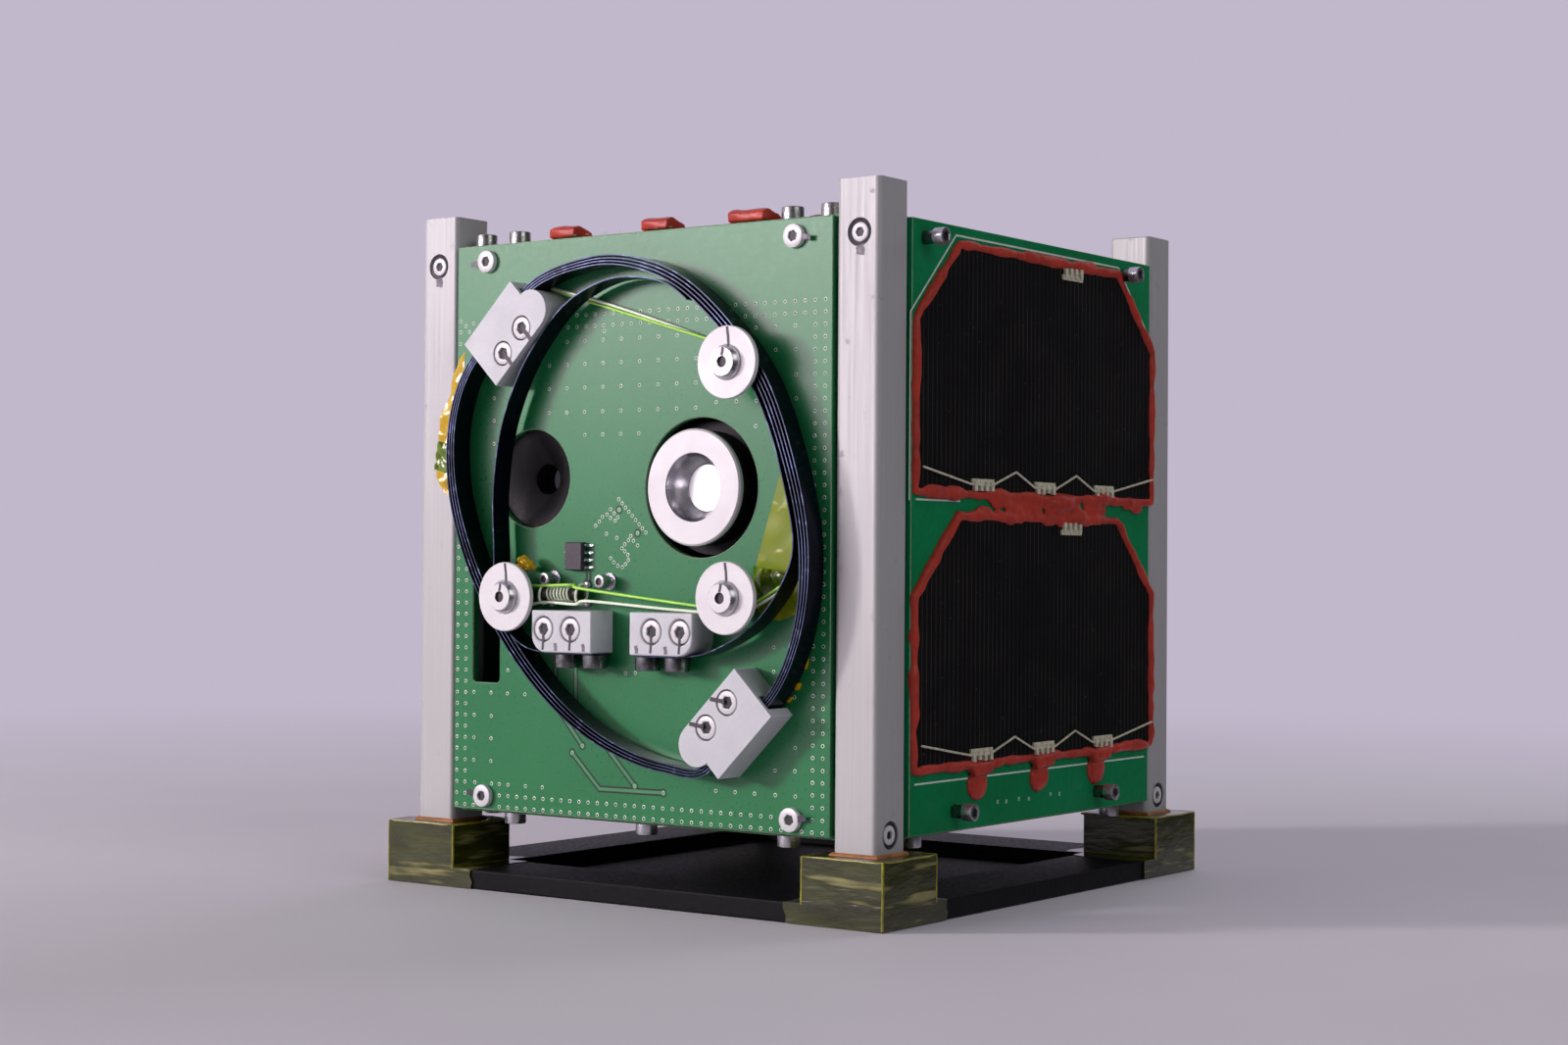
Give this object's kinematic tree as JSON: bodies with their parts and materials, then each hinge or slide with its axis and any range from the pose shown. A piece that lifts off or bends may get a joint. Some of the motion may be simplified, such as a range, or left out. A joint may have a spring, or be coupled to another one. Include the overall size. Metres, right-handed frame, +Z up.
{
  "type": "one-unit nanosatellite on a display stand",
  "caption": "Cube nanosatellite with rails, solar panels and a face of wound tape antennas round two camera openings, held by its rails in a low square stand.",
  "frame": {"origin": "centre of the stand's underside, on the surface it stands on, below the satellite's long axis", "axes": "+Z up along the rails; -Y out of the antenna face; +X out of the solar face to its right"},
  "size_m": [0.109, 0.1125, 0.12],
  "materials": {
    "stand_plastic": "matt black plastic",
    "amber_film": "glossy polyimide film tape, wrinkled, over dark plastic",
    "anodised_aluminium": "satin clear-anodised aluminium",
    "washer_aluminium": "fine-turned aluminium",
    "screw_steel": "turned stainless steel",
    "spring_steel": "blued spring steel",
    "green_laminate": "solder-masked glass-epoxy circuit board",
    "antenna_laminate": "solder-masked glass-epoxy circuit board, satin",
    "solar_cell": "near-black cell under a thin cover glass",
    "black_anodised": "black-anodised aluminium, matt",
    "optical_glass": "clear lens glass",
    "white_acetal": "machined white acetal",
    "resistor_enamel": "dark enamel with bright wire turns",
    "chip_epoxy": "moulded dark epoxy with tinned leads",
    "line_nylon": "clear and green monofilament",
    "stack_block": "dark boards and battery, seen only through gaps"
  },
  "bodies": {
    "root": {"stand_base": "stand_plastic", "stand_sockets": "amber_film", "rail_front_left": "anodised_aluminium", "rail_front_right": "anodised_aluminium", "rail_back_left": "anodised_aluminium", "rail_back_right": "anodised_aluminium", "rail_screws": "screw_steel", "top_frame": "anodised_aluminium", "bottom_frame": "anodised_aluminium", "inner_stack": "stack_block", "antenna_board": "antenna_laminate", "solar_board_right": "green_laminate", "solar_board_back": "green_laminate", "solar_board_left": "green_laminate", "top_board": "green_laminate", "bottom_board": "green_laminate", "solar_cells_right": "solar_cell", "solar_cells_back": "solar_cell", "solar_cells_left": "solar_cell", "solar_cells_top": "solar_cell", "camera_hood": "black_anodised", "camera_glass": "optical_glass", "lens_barrel": "black_anodised", "lens_ring": "anodised_aluminium", "lens_glass": "optical_glass", "clamp_upper_left": "white_acetal", "clamp_lower_right": "white_acetal", "clamp_mid_left": "white_acetal", "clamp_mid_right": "white_acetal", "clamp_screws": "screw_steel", "tape_screws": "screw_steel", "line_posts": "anodised_aluminium", "post_washers": "washer_aluminium", "post_screws": "screw_steel", "antenna_tape_upper": "spring_steel", "antenna_tape_lower": "spring_steel", "antenna_tape_left": "spring_steel", "antenna_tape_right": "spring_steel", "cutter_resistor": "resistor_enamel", "terminal_screws": "screw_steel", "driver_chip": "chip_epoxy", "hold_down_lines": "line_nylon", "board_screws": "screw_steel", "side_screws": "screw_steel", "top_screws": "screw_steel", "bottom_screws": "screw_steel"}
  },
  "joints": []
}
